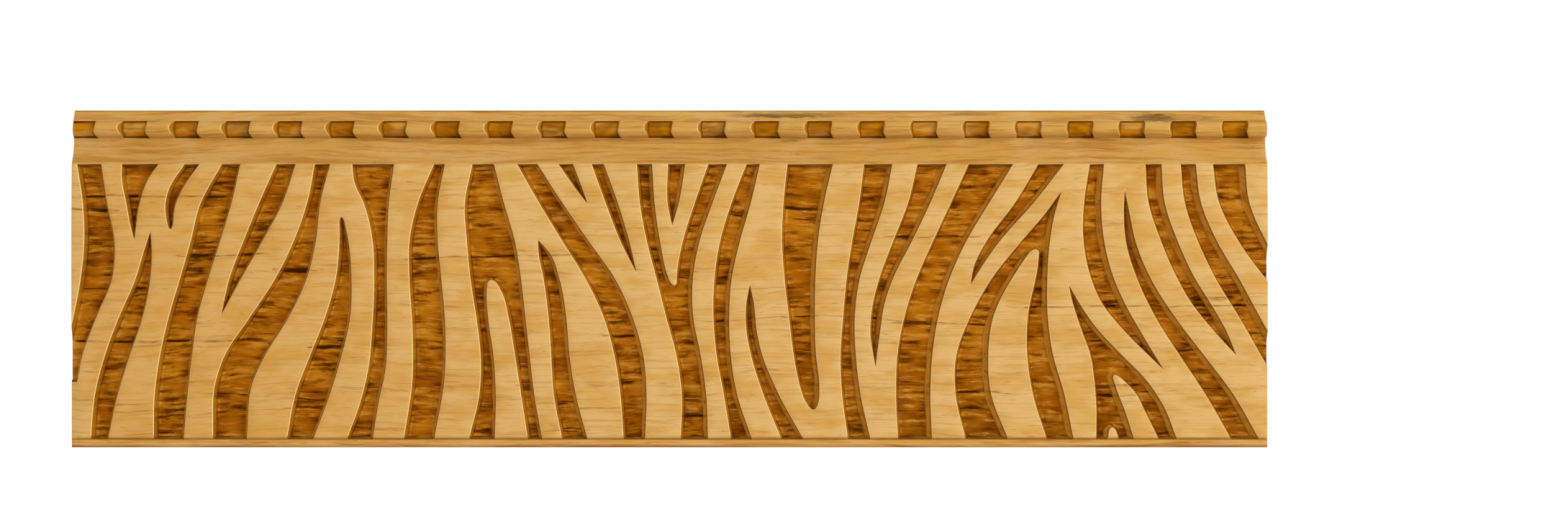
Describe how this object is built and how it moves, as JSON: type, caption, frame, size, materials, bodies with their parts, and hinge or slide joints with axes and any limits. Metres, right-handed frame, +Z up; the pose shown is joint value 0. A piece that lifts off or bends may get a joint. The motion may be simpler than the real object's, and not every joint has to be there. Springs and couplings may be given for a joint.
{
  "type": "carved wooden moulding",
  "caption": "Straight strip of carved wooden moulding: a notched bead and a cove above a flat field cut with flowing, forking zebra stripes, over a thin lower margin.",
  "frame": {"origin": "middle of the flat back, which is fixed to a wall or a carcase", "axes": "+X along the strip, to the right as seen from the front; +Z up, towards the bead; the carved front faces -Y and the back +Y"},
  "size_m": [0.2372, 0.008, 0.067],
  "materials": {
    "wood": "oiled golden softwood, stained brown in the grooves"
  },
  "bodies": {
    "root": {"moulding": "wood"}
  },
  "joints": []
}
